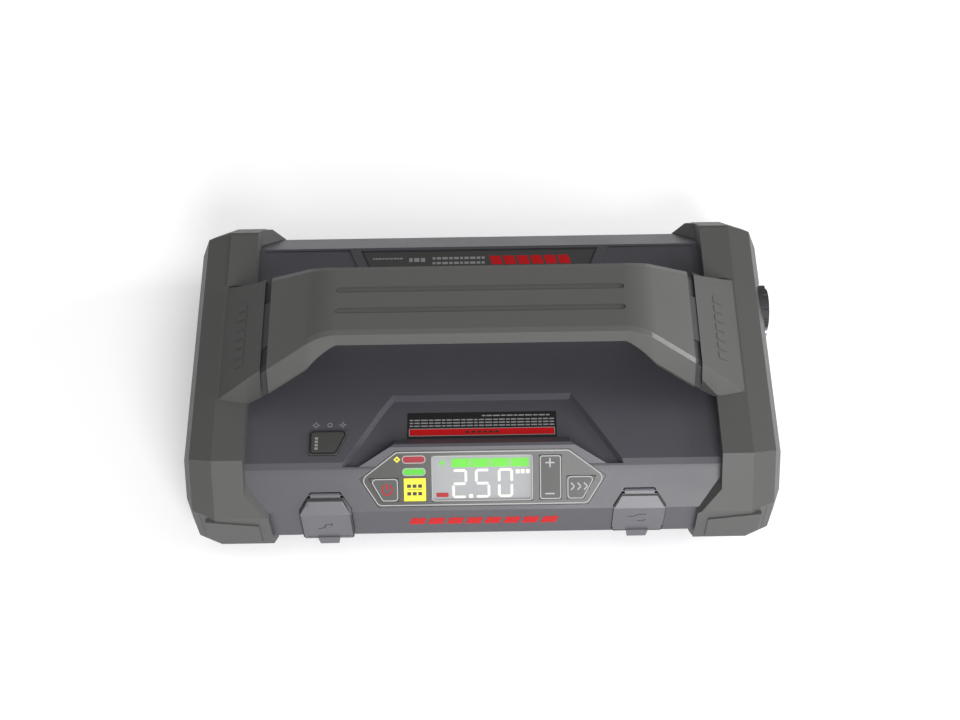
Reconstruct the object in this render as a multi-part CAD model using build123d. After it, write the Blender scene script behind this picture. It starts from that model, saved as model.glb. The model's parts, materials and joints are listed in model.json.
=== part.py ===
"""Portable jump starter pack with a built-in tyre compressor.

The case lies along X, its controls face -Y, and +Z is up. The origin is on the ground
under the middle of the pack. All sizes are in millimetres.
"""
from build123d import *
import math
import os

# Case
CASE_HALF_LENGTH = 124.0
WALL = 2.5
CASE_TOP = 52.5
PARTING_Z = 17.0
BELT_TOP = 38.0
FRONT_BELT_Y = -75.2
BACK_BELT_Y = 73.8
SLOPE_TOP = (-63.5, 48.4)
CASE_OUTLINE = [
    (-66.0, 4.0), (62.5, 4.0), (BACK_BELT_Y, PARTING_Z), (BACK_BELT_Y, BELT_TOP + 0.5),
    (57.5, CASE_TOP), (-58.6, CASE_TOP), (-61.2, 51.0), SLOPE_TOP,
    (FRONT_BELT_Y, BELT_TOP), (FRONT_BELT_Y, PARTING_Z),
]
SCREW_POSTS = [(-92, -58), (92, -58), (-92, 58), (92, 58), (-34, 58), (34, 58)]
POST_RADIUS = 3.5
SCREW_RADIUS = 1.5

# End caps
CAP_OUTER_X = 130.5
CAP_CREASES = (117.0, 127.0)
CAP_INNER_X = 103.5
FOOT_INNER_X = 93.6
FOOT_TOP = (47.0, 37.5)
CAP_TOP = 60.0
CAP_OUTLINE = [
    (-68.0, 1.5), (69.0, 1.5), (80.3, 15.0), (80.3, 39.0),
    (62.0, CAP_TOP), (-61.2, CAP_TOP), (-78.2, 39.0), (-78.2, 15.0),
]
FOOT_BACK_Y = (77.6, 74.5)
CAP_DROPS = [2.0, 4.0, 4.2, 3.2, 2.2, 3.2, 4.2, 4.0]
CAP_CORNER_DROP = 8.0
FIT = 0.1
RUNNING = 0.05

# Handle
GRIP_TOP = 92.0
GRIP_HALF_WIDTH = 15.5
GRIP_THICKNESS = 13.0
GRIP_EDGE = (2.2, 0.8)
GRIP_CHAMFER = (4.2, 5.6)
LEG_CHAMFER = (7.4, 10.8)
CHAMFER_GROWS_X = (63.0, 76.0)
LEG_THICKNESS = 12.5
NECK_THICKNESS = 12.0
BEND_X = 70.0
LEG_FALL = 0.6957
GRIP_END_X = 93.4
SHOULDER_X = 96.5
CORE_END_X = 109.0
CORE_DEPTH = 2.8
NECK_DEPTH = 1.3
NECK_PAD = (-12.0, 11.5)
GROOVES_Y = (5.4, -5.6)
CORE_FOOT = 55.2

# Control panel, in the plane of the front slope: x across, s up the slope, h out of it
PANEL_OUTLINE = [
    (-45.8, 2.0), (45.8, 2.0), (53.6, 14.5), (37.7, 26.6), (-37.7, 26.6), (-53.6, 14.5),
]
ISLAND_OUTLINE = [
    (-60.0, 8.0), (60.0, 8.0), (60.0, 15.6), (55.6, 19.0), (38.4, 29.7),
    (-38.4, 29.7), (-55.6, 19.0), (-60.0, 15.6),
]
ISLAND_DEPTH = 10.5
PANEL_THICKNESS = 1.2
PANEL_LEDGE = 1.4
POWER_KEY = [(-43.9, 4.4), (-36.9, 4.4), (-36.9, 14.6), (-49.5, 14.6)]
UNIT_KEY = [(-34.4, 4.4), (-24.9, 4.4), (-24.9, 14.6), (-34.4, 14.6)]
ROCKER_KEY = [(24.8, 4.4), (34.2, 4.4), (34.2, 24.0), (24.8, 24.0)]
ROCKER_AXIS = (14.2, -2.4)
PUMP_KEY = [(36.7, 4.4), (43.7, 4.4), (49.2, 14.6), (36.7, 14.6)]
LCD_OUTLINE = [(-22.3, 4.0), (21.9, 4.0), (21.9, 24.4), (-22.3, 24.4)]
PIPE_CENTRES = {"fault_light_pipe": (-29.9, 22.9), "status_light_pipe": (-29.9, 17.4)}
PIPE_SIZE = (9.7, 3.0)
KEY_PROUD = 0.25
KEY_GAP = 0.2
KEY_FLANGE = 0.5

# Pocket behind the control panel, and the rear panels
POCKET_FLOOR = 49.5
POCKET_WALL = 1.6
POCKET_LEAN = (-0.6, 0.9)
SIDE_PANEL = [(-101, 32), (-51.8, 32), (-60.8, 56.4), (-101, 56.4)]
REAR_LABEL = [(-46.6, 32), (46.6, 32), (55.7, 55.8), (-55.7, 55.8)]
PANEL_RECESS = 0.5
POCKET_OUTLINE = [
    (-61.5, -60.5), (61.5, -60.5), (44.8, -32.8), (39.6, -25.3), (-39.6, -25.3), (-44.8, -32.8),
]
LIGHT_KEY = [(-75.6, -54.8), (-63.7, -54.8), (-58.5, -42.8), (-75.6, -42.8)]

# Port covers on the front
PORT_TOP_S = 8.6
COVER_SHEET = 1.9
KNUCKLE_RADIUS = 1.1
HINGE_S = PORT_TOP_S - KNUCKLE_RADIUS
HINGE_H = KNUCKLE_RADIUS - COVER_SHEET
STRIP_S = HINGE_S - 1.1
STRIP_H = 0.4
PIN_RADIUS = 0.6
PIN_HALF_LENGTH = 9.2
COVER_BOTTOM = 17.4
JUMP_X = -68.8
USB_X = 68.3
PORT_HALF_WIDTH = 11.3
PORT_TOP_HALF_WIDTH = 6.5
PORT_SHOULDER = 0.8
COVER_NOTCH = 1.4

# Lamp in the left end, air outlet and ring in the right end, as (y, z)
LAMP_AXIS = (0.0, 31.0)
LAMP_HALF = (18.0, 8.5)
LAMP_BOWLS_Y = (-11.0, 0.0, 11.0)
OUTLET_AXIS = (25.0, 43.0)
RING_POST = (10.5, 47.0)
RING_RADIUS, RING_WIRE = 2.2, 0.45

# Compressor
MOTOR_AXIS = (39.0, 27.0)
MOTOR_RADIUS = 15.5
MOTOR_START_X, MOTOR_END_X = 14.0, 62.0
MODULE = 1.0
PINION_TEETH, GEAR_TEETH = 10, 36
GEAR_X = (67.0, 72.5)
CRANK_THROW = 3.5
ROD_X = (75.5, 80.0)
ROD_LENGTH = 34.0
BORE_RADIUS = 11.0

SLOPE_ANGLE = math.atan2(SLOPE_TOP[1] - BELT_TOP, SLOPE_TOP[0] - FRONT_BELT_Y)
SLOPE_UP = (0.0, math.cos(SLOPE_ANGLE), math.sin(SLOPE_ANGLE))
SLOPE_OUT = (0.0, -math.sin(SLOPE_ANGLE), math.cos(SLOPE_ANGLE))
SLOPE = Plane(origin=(0, FRONT_BELT_Y, BELT_TOP), x_dir=(1, 0, 0), z_dir=SLOPE_OUT)
CRANK_AXIS = (MOTOR_AXIS[0] - MODULE * (PINION_TEETH + GEAR_TEETH) / 2, MOTOR_AXIS[1])


def prism_x(points, x0, x1):
    """Solid between x0 and x1 over an outline of (y, z) corners."""
    plane = Plane(origin=(x0, 0, 0), x_dir=(0, 1, 0), z_dir=(1, 0, 0))
    return extrude(plane * Polygon(*points, align=None), amount=x1 - x0, dir=(1, 0, 0))


def prism_y(points, y0, y1):
    """Solid between y0 and y1 over an outline of (x, z) corners."""
    plane = Plane(origin=(0, y0, 0), x_dir=(1, 0, 0), z_dir=(0, -1, 0))
    return extrude(plane * Polygon(*points, align=None), amount=y1 - y0, dir=(0, 1, 0))


def prism_z(points, z0, z1):
    """Solid between z0 and z1 over an outline of (x, y) corners."""
    plane = Plane(origin=(0, 0, z0))
    return extrude(plane * Polygon(*points, align=None), amount=z1 - z0, dir=(0, 0, 1))


def prism_slope(points, h0, h1):
    """Solid over an outline of (x, s) corners on the front slope, from height h0 to h1."""
    plane = SLOPE.offset(h0)
    return extrude(plane * Polygon(*points, align=None), amount=h1 - h0, dir=SLOPE_OUT)


def block(x0, x1, y0, y1, z0, z1):
    """Box between two corners."""
    middle = Pos((x0 + x1) / 2, (y0 + y1) / 2, (z0 + z1) / 2)
    return middle * Box(abs(x1 - x0), abs(y1 - y0), abs(z1 - z0))


def rod_x(radius, x0, x1, y, z):
    """Round bar along X."""
    return Pos((x0 + x1) / 2, y, z) * Rot(0, 90, 0) * Cylinder(radius, abs(x1 - x0))


def rod_y(radius, y0, y1, x, z):
    """Round bar along Y."""
    return Pos(x, (y0 + y1) / 2, z) * Rot(90, 0, 0) * Cylinder(radius, y1 - y0)


def rod_z(radius, z0, z1, x, y):
    """Round bar along Z."""
    return Pos(x, y, (z0 + z1) / 2) * Cylinder(radius, z1 - z0)


def inset(points, distance):
    """Outline moved inwards by a distance, or outwards where it is negative."""
    moved = []
    for index, (x, y) in enumerate(points):
        before, after = points[index - 1], points[(index + 1) % len(points)]
        run_in = math.hypot(x - before[0], y - before[1])
        run_out = math.hypot(after[0] - x, after[1] - y)
        normal_in = (-(y - before[1]) / run_in, (x - before[0]) / run_in)
        normal_out = (-(after[1] - y) / run_out, (after[0] - x) / run_out)
        scale = 1 + normal_in[0] * normal_out[0] + normal_in[1] * normal_out[1]
        moved.append((x + (normal_in[0] + normal_out[0]) * distance / scale,
                      y + (normal_in[1] + normal_out[1]) * distance / scale))
    return moved


def slope_point(s, h):
    """(y, z) of a point on the front slope."""
    return (FRONT_BELT_Y + s * SLOPE_UP[1] + h * SLOPE_OUT[1],
            BELT_TOP + s * SLOPE_UP[2] + h * SLOPE_OUT[2])


def left_right(solid):
    """A solid and its mirror image across the middle of the pack."""
    return solid, mirror(solid, about=Plane.YZ)


# ---------------------------------------------------------------- covers over the ports
def cover_outline(centre_x, grow=0.0):
    """Front outline of a port cover as (x, z) corners."""
    top = slope_point(PORT_TOP_S, 0)[1]
    half, top_half = PORT_HALF_WIDTH, PORT_TOP_HALF_WIDTH
    bottom, side = COVER_BOTTOM, COVER_BOTTOM + 1.4
    shoulder = BELT_TOP + PORT_SHOULDER
    corners = [(-half + 0.9, bottom), (half - 0.9, bottom), (half, side), (half, shoulder),
               (top_half, top), (-top_half, top), (-half, shoulder), (-half, side)]
    return [(centre_x + x, z) for x, z in inset(corners, -grow)]


def front_layer(inner, outer):
    """Outline of a layer that follows the belt and the slope, as (y, z) corners."""
    bottom, rise = 10.0, 20.0
    tilt = (math.pi / 2 - SLOPE_ANGLE) / 2

    def at(depth):
        corner = (FRONT_BELT_Y - depth, BELT_TOP + depth * math.tan(tilt))
        return [(FRONT_BELT_Y - depth, bottom), corner, slope_point(rise, depth)]

    return at(inner) + at(outer)[::-1]


def cover_blank(centre_x, inner, outer, grow=0.0):
    """Part of the front layer inside a cover's outline."""
    layer = prism_x(front_layer(inner, outer), centre_x - 20, centre_x + 20)
    return layer & prism_y(cover_outline(centre_x, grow), -95, -55)


def port_cover(centre_x, proud):
    """Hinged flap over a port, with its hinge strip, knuckle and pull tab."""
    hinge_y, hinge_z = slope_point(HINGE_S, HINGE_H)
    flap = cover_blank(centre_x, -COVER_SHEET, proud)
    beyond, clear = 15.0, 6.0
    over_hinge = [(-beyond, HINGE_S), (beyond, HINGE_S), (beyond, beyond), (-beyond, beyond)]
    flap -= prism_slope([(centre_x + x, s) for x, s in over_hinge], -clear, clear)
    shoulder_s = PORT_SHOULDER / math.sin(SLOPE_ANGLE)
    for side in (-1, 1):
        outside = [(PORT_HALF_WIDTH, shoulder_s), (beyond, shoulder_s), (beyond, beyond),
                   (PORT_TOP_HALF_WIDTH, beyond), (PORT_TOP_HALF_WIDTH, STRIP_S),
                   (PORT_TOP_HALF_WIDTH + COVER_NOTCH, STRIP_S)]
        flap -= prism_slope([(centre_x + side * x, s) for x, s in outside], -clear, clear)
    bevel = [(STRIP_S, STRIP_H), (beyond, STRIP_H), (beyond, clear),
             (STRIP_S - clear + STRIP_H, clear)]
    flap -= prism_x([slope_point(s, h) for s, h in bevel], centre_x - beyond, centre_x + beyond)
    flap += rod_x(KNUCKLE_RADIUS, centre_x - PORT_TOP_HALF_WIDTH, centre_x + PORT_TOP_HALF_WIDTH,
                  hinge_y, hinge_z)
    tab = [(centre_x - 5.0, 19.0), (centre_x - 4.2, 13.4),
           (centre_x + 4.2, 13.4), (centre_x + 5.0, 19.0)]
    flap += prism_y(tab, FRONT_BELT_Y - proud - 0.7, FRONT_BELT_Y - 0.15)
    return flap - rod_x(PIN_RADIUS + RUNNING, centre_x - 12, centre_x + 12, hinge_y, hinge_z)


def hinge_pin(centre_x):
    """Steel pin that a cover turns on."""
    return rod_x(PIN_RADIUS, centre_x - PIN_HALF_LENGTH, centre_x + PIN_HALF_LENGTH,
                 *slope_point(HINGE_S, HINGE_H))


def cut_port(shell, centre_x):
    """Recess for a cover, the mouth behind it, and the hinge's pin holes."""
    hinge = slope_point(HINGE_S, HINGE_H)
    shell -= cover_blank(centre_x, -COVER_SHEET - FIT, 6.0, grow=0.25)
    shell -= block(centre_x - 9.3, centre_x + 9.3, -74, -60, 19.6, 36.4)
    relief = PORT_TOP_HALF_WIDTH + 0.3
    shell -= rod_x(KNUCKLE_RADIUS + 0.35, centre_x - relief, centre_x + relief, *hinge)
    pin = PIN_HALF_LENGTH + 0.1
    return shell - rod_x(PIN_RADIUS + 0.01, centre_x - pin, centre_x + pin, *hinge)


# ---------------------------------------------------------------- case
def pocket_space():
    """Space of the pocket in the top, with its walls leaning outwards."""
    faces = []
    for z, lean in ((POCKET_FLOOR, POCKET_LEAN[1]), (CASE_TOP + 0.5, POCKET_LEAN[0])):
        outline = Polygon(*inset(POCKET_OUTLINE, lean), align=None)
        faces.append((Plane(origin=(0, 0, z)) * outline).face())
    return loft(faces, ruled=True)


def upper_shell():
    """Top half of the case with the control island, pocket, ports and screw posts."""
    outer = prism_x(CASE_OUTLINE, -CASE_HALF_LENGTH, CASE_HALF_LENGTH)
    outer &= block(-200, 200, -100, 100, PARTING_Z, 100)
    hollow = prism_x(inset(CASE_OUTLINE, WALL), -CASE_HALF_LENGTH + WALL, CASE_HALF_LENGTH - WALL)
    pocket_block = prism_z(inset(POCKET_OUTLINE, -POCKET_WALL), POCKET_FLOOR - WALL, CASE_TOP)
    shell = outer - hollow
    backing = cover_blank(JUMP_X, -5.0, -1.0, grow=2.2) + cover_blank(USB_X, -5.0, -1.0, grow=2.2)
    posts = [rod_z(POST_RADIUS, PARTING_Z, 60, x, y) for x, y in SCREW_POSTS]
    bosses = [rod_x(4.0, sign * 114, sign * 122, y, z)
              for sign in (-1, 1) for y in (-40, 40) for z in (26, 42)]
    for extra in [pocket_block, backing] + posts + bosses:
        shell += extra & outer
    shell -= pocket_space()
    island = prism_slope(ISLAND_OUTLINE, -ISLAND_DEPTH, 0)
    chamfer_edge = slope_point(ISLAND_OUTLINE[4][1], 0)
    island = split(island, bisect_by=Plane(origin=(0, chamfer_edge[0] - 1.4, chamfer_edge[1] - 1.0),
                                           z_dir=(0, -0.32, 0.95)), keep=Keep.BOTTOM)
    shell += island & block(-70, 70, -80, -40, POCKET_FLOOR - WALL, 70)
    opening = inset(PANEL_OUTLINE, PANEL_LEDGE)
    shell -= prism_slope(inset(PANEL_OUTLINE, -0.15), -PANEL_THICKNESS, 6)
    shell -= prism_slope(opening, -11.5, 1)
    shell = cut_port(cut_port(shell, JUMP_X), USB_X)
    shell -= prism_z(inset(LIGHT_KEY, -KEY_GAP), 44, 60)
    for panel in left_right(prism_z(SIDE_PANEL, CASE_TOP - PANEL_RECESS, 60)):
        shell -= panel
    shell -= prism_z(inset(REAR_LABEL, -0.15), CASE_TOP - PANEL_RECESS, 60)
    for x, y in SCREW_POSTS:
        shell -= rod_z(SCREW_RADIUS, PARTING_Z - 1, 33, x, y)
    for x0, x1, y, z in cap_screw_places():
        shell -= rod_x(SCREW_RADIUS, x0, x1, y, z)
    shell -= lamp_block(-126, -120, 0.3)
    shell -= rod_x(5.0 + FIT, 117, 126, *OUTLET_AXIS)
    return shell


def lower_shell():
    """Bottom half of the case with its screw posts."""
    outer = prism_x(CASE_OUTLINE, -CASE_HALF_LENGTH, CASE_HALF_LENGTH)
    outer &= block(-200, 200, -100, 100, 0, PARTING_Z)
    hollow = prism_x(inset(CASE_OUTLINE, WALL), -CASE_HALF_LENGTH + WALL, CASE_HALF_LENGTH - WALL)
    shell = outer - hollow
    for x, y in SCREW_POSTS:
        shell += rod_z(POST_RADIUS, 4.5, PARTING_Z, x, y)
        shell -= rod_z(SCREW_RADIUS + FIT, 3, PARTING_Z + 1, x, y)
        shell -= rod_z(2.9, 3, 7.0, x, y)
    return shell


def case_screws():
    """Screws that close the case from below."""
    screws = []
    for x, y in SCREW_POSTS:
        screw = rod_z(SCREW_RADIUS, 7.0, 32.0, x, y) + rod_z(2.7, 4.6, 7.0, x, y)
        screws.append(screw - rod_z(1.1, 4.0, 5.8, x, y))
    return screws


# ---------------------------------------------------------------- end caps
def lamp_block(x0, x1, grow):
    """Rounded block around the axis of the end lamp."""
    half_y, half_z = LAMP_HALF[0] + grow, LAMP_HALF[1] + grow
    plane = Plane(origin=(x0, *LAMP_AXIS), x_dir=(0, 1, 0), z_dir=(1, 0, 0))
    face = plane * RectangleRounded(2 * half_y, 2 * half_z, 4.0)
    return extrude(face, amount=x1 - x0, dir=(1, 0, 0))


def cap_screw_places():
    """Start, end and axis of each screw through the end caps, from its point to its head."""
    return [(sign * 115, sign * 125.6, y, z)
            for sign in (-1, 1) for y in (-40, 40) for z in (26, 42)]


def shoulder_section(x, half, chamfer_y, chamfer_z, base_half, base_z):
    """Hexagonal section of the handle's shoulder at x."""
    top_z = GRIP_TOP - (x - BEND_X) * LEG_FALL
    corners = [(-base_half, base_z), (base_half, base_z), (chamfer_y, chamfer_z),
               (half, top_z), (-half, top_z), (-chamfer_y, chamfer_z)]
    plane = Plane(origin=(x, 0, 0), x_dir=(0, 1, 0), z_dir=(1, 0, 0))
    return (plane * Polygon(*corners, align=None)).face()


def end_cap():
    """Right-hand bumper: faceted wrap-round cap with its foot and the handle's shoulder."""
    cap = prism_x(CAP_OUTLINE, FOOT_INNER_X, CAP_OUTER_X)
    run = CAP_CREASES[1] - CAP_CREASES[0]
    last_run = CAP_OUTER_X - CAP_CREASES[1]
    for index, (corner, drop) in enumerate(zip(CAP_OUTLINE, CAP_DROPS)):
        after = CAP_OUTLINE[(index + 1) % len(CAP_OUTLINE)]
        length = math.dist(corner, after)
        out = ((after[1] - corner[1]) / length, -(after[0] - corner[0]) / length)
        crease = Plane(origin=(CAP_CREASES[0], *corner), z_dir=(drop / run, *out))
        cap = split(cap, bisect_by=crease, keep=Keep.BOTTOM)
        lower = (corner[0] - out[0] * drop, corner[1] - out[1] * drop)
        edge = Plane(origin=(CAP_CREASES[1], *lower), z_dir=(CAP_CORNER_DROP / last_run, *out))
        cap = split(cap, bisect_by=edge, keep=Keep.BOTTOM)
    inner_edge = [(CAP_INNER_X, FOOT_TOP[0]), (FOOT_INNER_X, FOOT_TOP[1]), (FOOT_INNER_X, -5),
                  (140, -5), (140, 75), (CAP_INNER_X, 75)]
    cap &= prism_y(inner_edge, -90, 90)
    cap -= prism_z([(CAP_INNER_X, FOOT_BACK_Y[0]), (CAP_INNER_X, 90), (FOOT_INNER_X - 1, 90),
                    (FOOT_INNER_X - 1, FOOT_BACK_Y[1])], -1, 60)
    pad = prism_z([(CAP_INNER_X, 31), (CAP_CREASES[0] - 0.6, 31), (CAP_CREASES[0] - 0.6, 60.6),
                   (CAP_INNER_X, 60.6)], CAP_TOP - 1, CAP_TOP + 0.6)
    cap += pad
    plate = [(98.5, 16.8), (115.6, 16.8), (121.4, 21.8), (121.4, 36.9), (98.5, 32.4)]
    cap += prism_y(plate, -78.8, -77)
    shoulder = loft([shoulder_section(SHOULDER_X, 23.7, 29.0, 68.3, 28.6, 59.5),
                     shoulder_section(CAP_INNER_X, 25.9, 32.0, 60.5, 31.6, 58.0),
                     shoulder_section(118.0, 30.5, 32.0, 57.0, 31.5, 55.5)], ruled=True)
    cap += shoulder
    cap -= prism_x(inset(CASE_OUTLINE, -FIT), 80, CASE_HALF_LENGTH + FIT)
    cap -= handle_core_half()
    for y in (-10, 10):
        cap -= rod_z(SCREW_RADIUS + FIT, 53, 61.5, 105, y)
        cap -= rod_z(2.8, 52, 54.4, 105, y)
    for y in (-50, 50):
        cap -= block(102.5, 115.5, y - 11, y + 11, 0, 2.5)
    for x0, x1, y, z in cap_screw_places():
        if x0 > 0:
            cap -= rod_x(SCREW_RADIUS + FIT, 123, 132, y, z) + rod_x(3.0, 127.6, 132, y, z)
    return cap


def rubber_feet():
    """Four pads under the end caps."""
    return [block(a, b, y - 10.8, y + 10.8, 0, 2.5)
            for a, b in ((102.7, 115.3), (-102.7, -115.3)) for y in (-50, 50)]


def cap_screws():
    """Screws through the outer faces of the end caps."""
    screws = []
    for x0, x1, y, z in cap_screw_places():
        sign = 1 if x0 > 0 else -1
        shank = rod_x(SCREW_RADIUS, x0, sign * 127.6, y, z)
        head = rod_x(2.8, sign * 127.6, sign * 129.8, y, z)
        screws.append(shank + head - rod_x(1.2, sign * 128.6, sign * 131, y, z))
    return screws


# ---------------------------------------------------------------- handle
def handle_stations(end_x):
    """Positions along the handle: x, height of its top, and its fall there."""
    angle = math.atan(LEG_FALL)
    radius = 24.0
    tangent = radius * math.tan(angle / 2)
    stations = [(0.0, GRIP_TOP, 0.0), (BEND_X - tangent, GRIP_TOP, 0.0)]
    for step in range(1, 5):
        turn = angle * step / 5
        stations.append((BEND_X - tangent + radius * math.sin(turn),
                         GRIP_TOP - radius * (1 - math.cos(turn)), turn))
    end_bend = BEND_X + tangent * math.cos(angle)
    stations.append((end_bend, GRIP_TOP - (end_bend - BEND_X) * LEG_FALL, angle))
    stations.append((end_x, GRIP_TOP - (end_x - BEND_X) * LEG_FALL, angle))
    return stations


def grip_half_width(x):
    """Half the width of the grip's flat top at x."""
    if x < 60:
        return GRIP_HALF_WIDTH
    if x < BEND_X:
        return GRIP_HALF_WIDTH + (x - 60) * 0.1
    return GRIP_HALF_WIDTH + 1.0 + (x - BEND_X) * 0.25


def handle_section(x, top, half, chamfer, thickness, bottom_half):
    """Section of the handle across X: flat top, narrow edge, chamfer, side and underside."""
    edge_out, edge_drop = GRIP_EDGE
    out, drop = chamfer
    right = [(bottom_half, top - thickness), (half + out, top - drop),
             (half + edge_out, top - edge_drop), (half, top)]
    left = [(-y, z) for y, z in reversed(right)]
    plane = Plane(origin=(x, 0, 0), x_dir=(0, 1, 0), z_dir=(1, 0, 0))
    return (plane * Polygon(*right, *left, align=None)).face()


def core_section(x, top, turn):
    """Section of the core across X."""
    slant = math.cos(turn)
    top -= CORE_DEPTH / slant
    corners = [(-11.0, top - 7.0 / slant), (11.0, top - 7.0 / slant), (14.0, top - 2.0),
               (12.0, top), (-12.0, top), (-14.0, top - 2.0)]
    plane = Plane(origin=(x, 0, 0), x_dir=(0, 1, 0), z_dir=(1, 0, 0))
    return (plane * Polygon(*corners, align=None)).face()


def neck(depth):
    """Collar of the core that fills the gap between grip and shoulder, sunk by depth."""
    sections = []
    for x in (GRIP_END_X + FIT, SHOULDER_X - FIT):
        top = GRIP_TOP - (x - BEND_X) * LEG_FALL - depth * math.sqrt(1 + LEG_FALL ** 2)
        half = grip_half_width(x) - depth
        bottom_half = half + LEG_CHAMFER[0] - 0.3
        sections.append(handle_section(x, top, half, LEG_CHAMFER, NECK_THICKNESS, bottom_half))
    return loft(sections, ruled=True)


def handle_core_half():
    """Right half of the stiff core that carries the handle's load."""
    core = loft([core_section(*station) for station in handle_stations(CORE_END_X)], ruled=True)
    core &= block(-1, 200, -60, 60, CORE_FOOT, 200)
    return core + neck(NECK_DEPTH) + (neck(NECK_DEPTH / 3) & block(90, 100, *NECK_PAD, 60, 90))


def handle_grip_half():
    """Right half of the moulded grip, before it is hollowed for the core."""
    start, end = CHAMFER_GROWS_X
    sections = []
    for x, top, turn in handle_stations(GRIP_END_X):
        share = min(1.0, max(0.0, (x - start) / (end - start)))
        out, drop = (a + (b - a) * share for a, b in zip(GRIP_CHAMFER, LEG_CHAMFER))
        thickness = GRIP_THICKNESS + (LEG_THICKNESS - GRIP_THICKNESS) * share
        half = grip_half_width(x)
        undercut = -1.5 * (1 - share) + (LEG_CHAMFER[0] - 0.3) * share
        sections.append(handle_section(x, top, half, (out, drop), thickness, half + undercut))
    return loft(sections, ruled=True)


def handle_core():
    """Stiff core from one end cap to the other."""
    core = handle_core_half()
    for y in (-10, 10):
        core -= rod_z(SCREW_RADIUS + FIT / 2, 50, 61.5, 105, y)
    return core + mirror(core, about=Plane.YZ)


def handle_grip():
    """Soft grip moulded round the core, with two long grooves on top."""
    half = handle_grip_half() - handle_core_half()
    grip = half + mirror(half, about=Plane.YZ)
    for y in GROOVES_Y:
        face = Plane(origin=(0, y, GRIP_TOP - 0.9)) * SlotOverall(126, 3.0)
        grip -= extrude(face, amount=3, dir=(0, 0, 1))
    return grip


def handle_screws():
    """Screws that hold the handle's core down on the end caps."""
    screws = []
    for x in (-105, 105):
        for y in (-10, 10):
            screws.append(rod_z(SCREW_RADIUS, 54.4, 61, x, y) + rod_z(2.6, 52.8, 54.4, x, y))
    return screws


# ---------------------------------------------------------------- controls
def pill(centre, grow, h0, h1):
    """Round-ended light pipe in the panel."""
    length, width = (size + 2 * grow for size in PIPE_SIZE)
    face = SLOPE.offset(h0) * Pos(*centre) * SlotOverall(length, width)
    return extrude(face, amount=h1 - h0, dir=SLOPE_OUT)


def control_panel():
    """Overlay plate with openings for the keys, the window and the light pipes."""
    plate = prism_slope(PANEL_OUTLINE, -PANEL_THICKNESS, 0)
    for key in (POWER_KEY, UNIT_KEY, ROCKER_KEY, PUMP_KEY):
        plate -= prism_slope(inset(key, -KEY_GAP), -3, 3)
    plate -= prism_slope(inset(LCD_OUTLINE, -0.1), -3, 3)
    for centre in PIPE_CENTRES.values():
        plate -= pill(centre, FIT, -3, 3)
    return plate


def key(outline, flange_top=-1.3):
    """Key cap with a retaining flange and a stem for its switch."""
    centre_x = sum(x for x, s in outline) / len(outline)
    centre_s = sum(s for x, s in outline) / len(outline)
    cap = prism_slope(outline, flange_top - 0.2, KEY_PROUD)
    cap += prism_slope(inset(outline, -KEY_FLANGE), flange_top - 1.2, flange_top)
    stem = SLOPE.offset(-4.8) * Pos(centre_x, centre_s) * Circle(1.3)
    return cap + extrude(stem, amount=3, dir=SLOPE_OUT)


def rocker():
    """Two-way key with the stub axle that it tilts on."""
    (x0, _), (x1, _) = ROCKER_KEY[:2]
    return key(ROCKER_KEY, flange_top=-1.9) + rod_x(1.0, x0 - 1.6, x1 + 1.4, *slope_point(*ROCKER_AXIS))


def light_button():
    """Lamp key on the top face."""
    cap = prism_z(LIGHT_KEY, 48.6, CASE_TOP + 0.8)
    cap += prism_z(inset(LIGHT_KEY, -0.8), 47.0, 49.6)
    return cap


def lcd_module():
    """Glass cell and backlight under the window."""
    return prism_slope(inset(LCD_OUTLINE, -0.15), -5.4, -1.3)


def display_board():
    """Circuit board that carries the display and the key switches."""
    board = prism_slope(inset(PANEL_OUTLINE, PANEL_LEDGE + 0.3), -7.6, -6.1)
    for outline in (POWER_KEY, UNIT_KEY, ROCKER_KEY, PUMP_KEY):
        x = sum(p[0] for p in outline) / len(outline)
        s = sum(p[1] for p in outline) / len(outline)
        switch = SLOPE.offset(-6.1) * Pos(x, s) * Rectangle(3.4, 3.4)
        board += extrude(switch, amount=0.3, dir=SLOPE_OUT)
    return board


# ---------------------------------------------------------------- ports
def jump_socket():
    """Moulded two-pole socket for the clamp lead."""
    body = block(JUMP_X - 8.8, JUMP_X + 8.8, -68.3, -54, 20.0, 36.0)
    for dx in (-4.3, 4.3):
        body -= rod_y(3.4, -69, -53, JUMP_X + dx, 28)
    return body


def jump_contacts():
    """Pair of sleeve contacts inside the socket, each with its tail."""
    contacts = []
    for dx in (-4.3, 4.3):
        sleeve = rod_y(3.35, -67.3, -51.0, JUMP_X + dx, 28)
        contacts.append(sleeve - rod_y(2.5, -68, -55.3, JUMP_X + dx, 28))
    return contacts


def usb_socket(z, width, height):
    """Steel USB receptacle with its tongue."""
    shell = block(USB_X - width / 2, USB_X + width / 2, -68.3, -57.9, z - height / 2, z + height / 2)
    shell -= block(USB_X - width / 2 + 0.5, USB_X + width / 2 - 0.5, -69, -58.6,
                   z - height / 2 + 0.5, z + height / 2 - 0.5)
    tongue = height / 6
    return shell + block(USB_X - width / 3, USB_X + width / 3, -67.5, -58.2, z - tongue, z + tongue)


def port_board():
    """Small board behind the USB sockets."""
    return block(USB_X - 11, USB_X + 11, -57.9, -56.3, 18.5, 37.5)


# ---------------------------------------------------------------- lamp
def lamp_lens():
    """Clear window of the end lamp."""
    return lamp_block(-130.3, -127.9, 0)


def lamp_reflector():
    """Bright tray with three bowls behind the lens."""
    tray = lamp_block(-127.8, -119.6, 0)
    for y in LAMP_BOWLS_Y:
        bowl = Pos(-123.7, LAMP_AXIS[0] + y, LAMP_AXIS[1]) * Rot(0, -90, 0) * Cone(2.2, 4.9, 8.4)
        tray -= bowl
    return tray


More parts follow.
